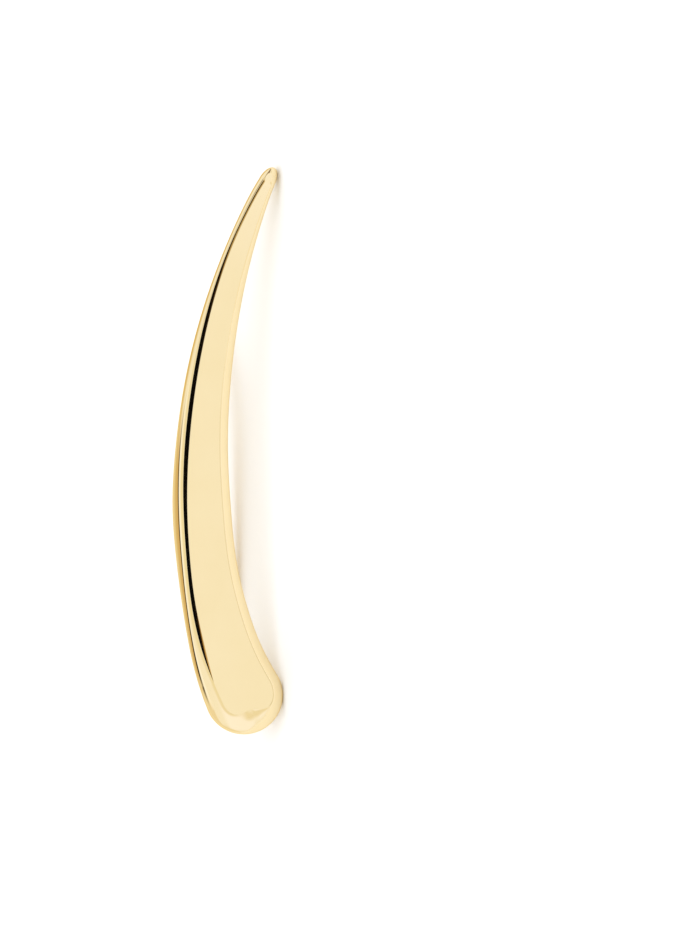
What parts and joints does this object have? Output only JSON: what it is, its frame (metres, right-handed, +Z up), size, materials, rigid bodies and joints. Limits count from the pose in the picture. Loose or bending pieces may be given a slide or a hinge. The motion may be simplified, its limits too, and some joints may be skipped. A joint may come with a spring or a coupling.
{
  "type": "ear climber",
  "caption": "Curved gold blade that tapers from a rounded lobe to a fine tip, with a bent ear wire soldered to its back.",
  "frame": {"origin": "middle of the footprint, on the surface that it lies on", "axes": "+X runs along the blade from the lobe to the tip, +Z is up from the surface, and the polished front faces -Y and somewhat up"},
  "size_m": [0.034, 0.0082, 0.0059],
  "materials": {
    "yellow_gold": "mirror polish"
  },
  "bodies": {
    "root": {"ear_climber": "yellow_gold"}
  },
  "joints": []
}
